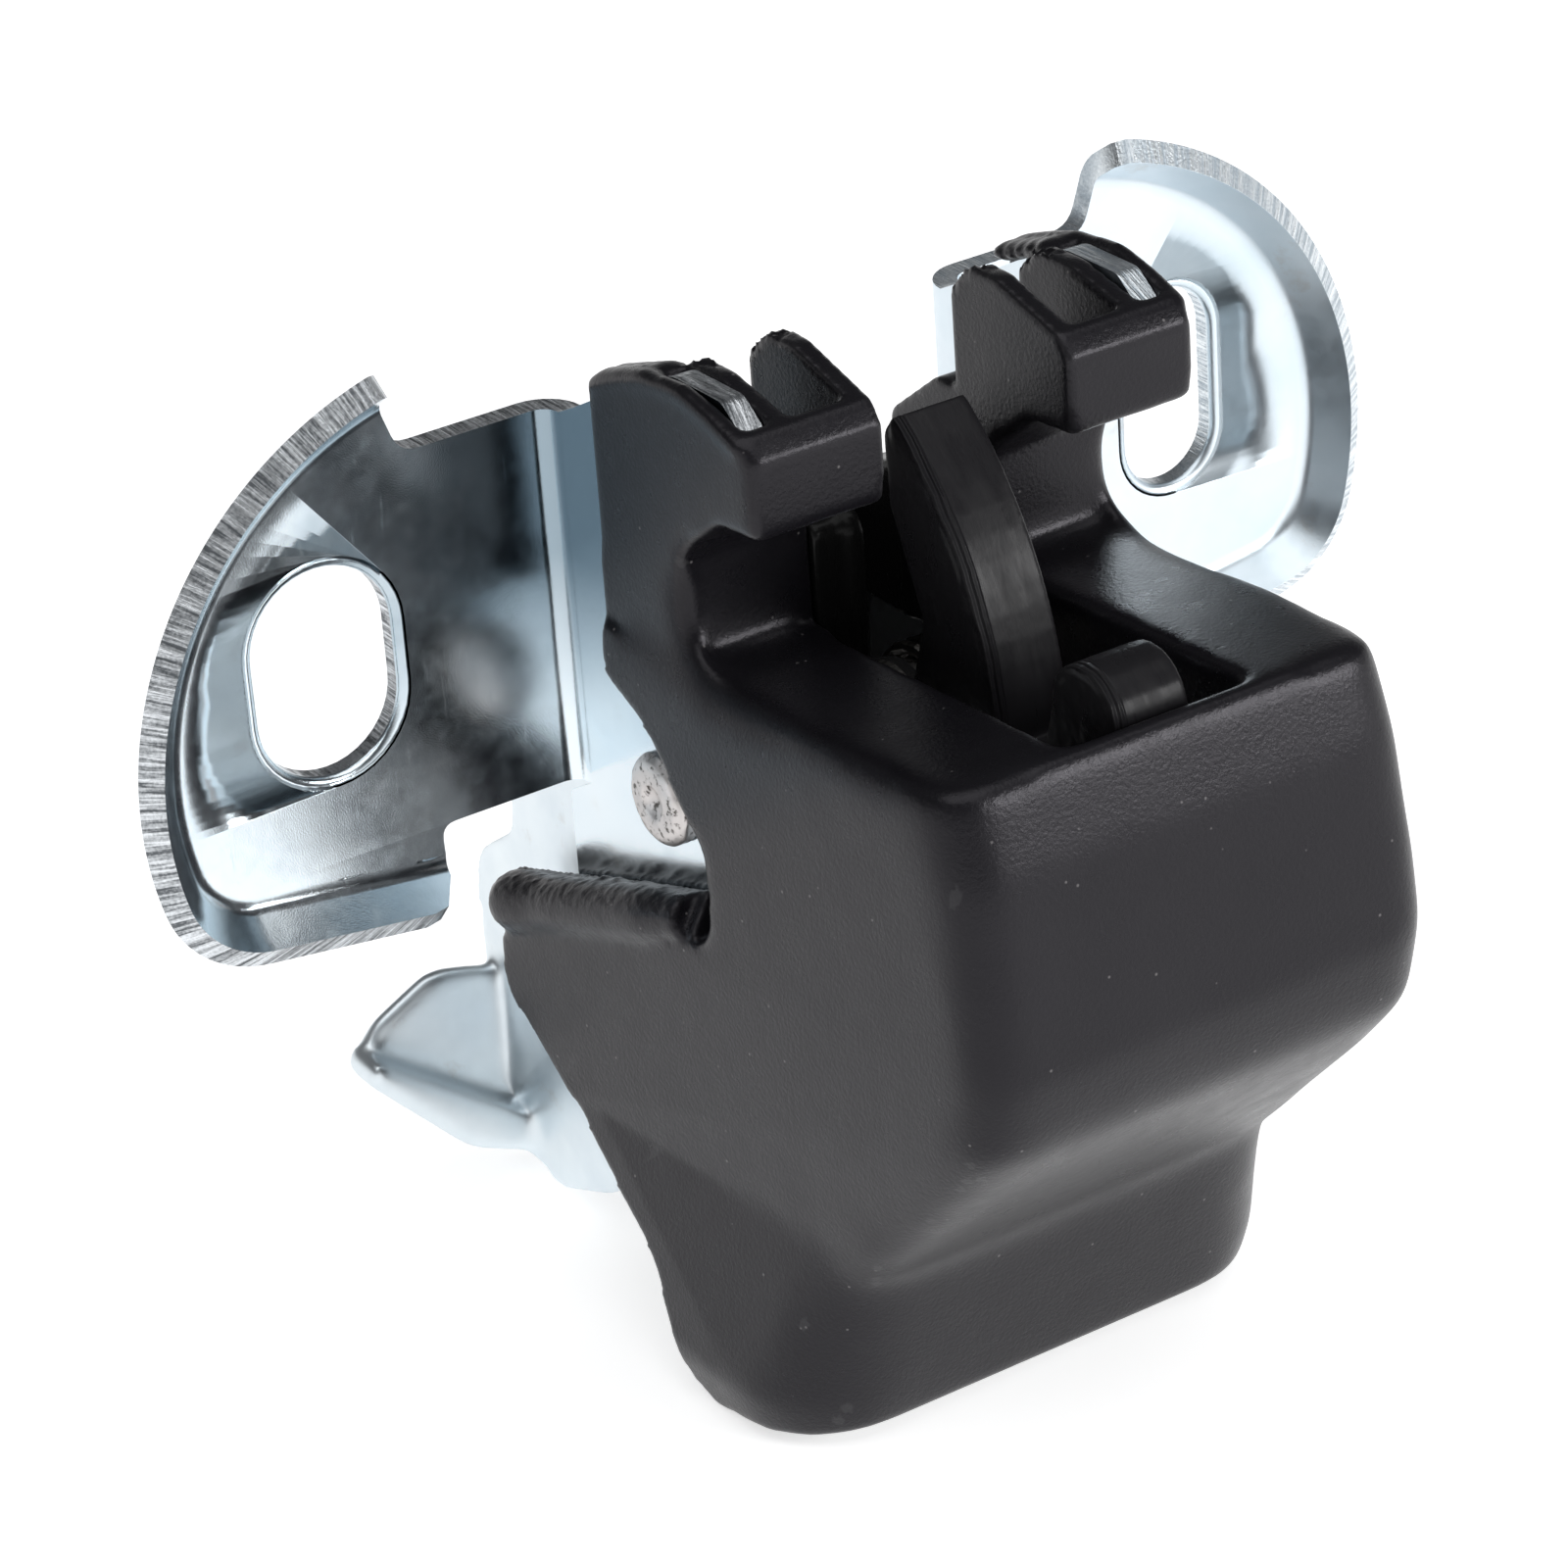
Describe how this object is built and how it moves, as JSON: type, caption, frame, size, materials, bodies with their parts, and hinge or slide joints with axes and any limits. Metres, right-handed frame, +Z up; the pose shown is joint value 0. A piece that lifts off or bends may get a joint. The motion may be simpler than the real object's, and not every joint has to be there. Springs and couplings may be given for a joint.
{
  "type": "vehicle door lock",
  "caption": "Tailgate latch with a pressed steel frame, dished slotted ears, a rotary fork claw, pawl and release lever, in a hollow black moulded shroud.",
  "frame": {"origin": "midway between the centres of the two bolt slots, on the front faces of the ears", "axes": "+X across the latch from the left ear to the right ear as seen from the front, +Y into the body panel, +Z up"},
  "size_m": [0.116, 0.0822, 0.0883],
  "materials": {
    "zinc_plate": "blue-white zinc plating with a fine sandy grain",
    "claw_steel": "bare stamped steel, lightly oiled",
    "pin_steel": "grey upset steel",
    "spring_wire": "dark oiled spring wire",
    "coated_steel": "black dip coating over steel sheet",
    "shroud_black": "fine-grained moulded black",
    "moulded_black": "smooth glossy moulded black",
    "bush_black": "plain moulded black",
    "buffer_rubber": "smooth black rubber"
  },
  "bodies": {
    "frame": {"left_side_plate": "zinc_plate", "right_side_plate": "zinc_plate", "cross_plate": "coated_steel", "shroud": "shroud_black", "striker_buffer": "moulded_black", "claw_pin": "pin_steel", "left_claw_bush": "pin_steel", "right_claw_bush": "pin_steel", "claw_spring": "spring_wire", "pawl_pin": "pin_steel", "left_pawl_spacer": "pin_steel", "right_pawl_spacer": "pin_steel", "pawl_spring": "spring_wire", "lever_spring": "spring_wire", "stop_pin": "pin_steel", "stop_sleeve": "buffer_rubber"},
    "claw": {"claw_plate": "claw_steel", "claw_cover": "moulded_black"},
    "pawl": {"pawl_plate": "claw_steel", "pawl_cover": "moulded_black"},
    "lever": {"release_lever": "zinc_plate", "lever_bush": "bush_black"}
  },
  "joints": [
    {"name": "claw_turn", "type": "hinge", "parent": "frame", "child": "claw", "pos_m": [0, -0.034, -0.016], "axis": [1, 0, 0], "range_deg": [-35, 0], "stiffness_Nm_per_rad": 0.2, "springref_deg": 28.65, "deforming": ["claw_spring"]},
    {"name": "lever_turn", "type": "hinge", "parent": "frame", "child": "lever", "pos_m": [0, -0.0142, -0.012], "axis": [1, 0, 0], "range_deg": [0, 16], "stiffness_Nm_per_rad": 0.15, "springref_deg": -17.19, "deforming": ["lever_spring"]},
    {"name": "pawl_turn", "type": "hinge", "parent": "frame", "child": "pawl", "pos_m": [0, -0.0142, -0.012], "axis": [1, 0, 0], "range_deg": [0, 16], "stiffness_Nm_per_rad": 0.05, "springref_deg": -17.19, "deforming": ["pawl_spring"]}
  ],
  "couplings": [
    {"joint": "pawl_turn", "follows": "lever_turn", "ratio": 1}
  ]
}
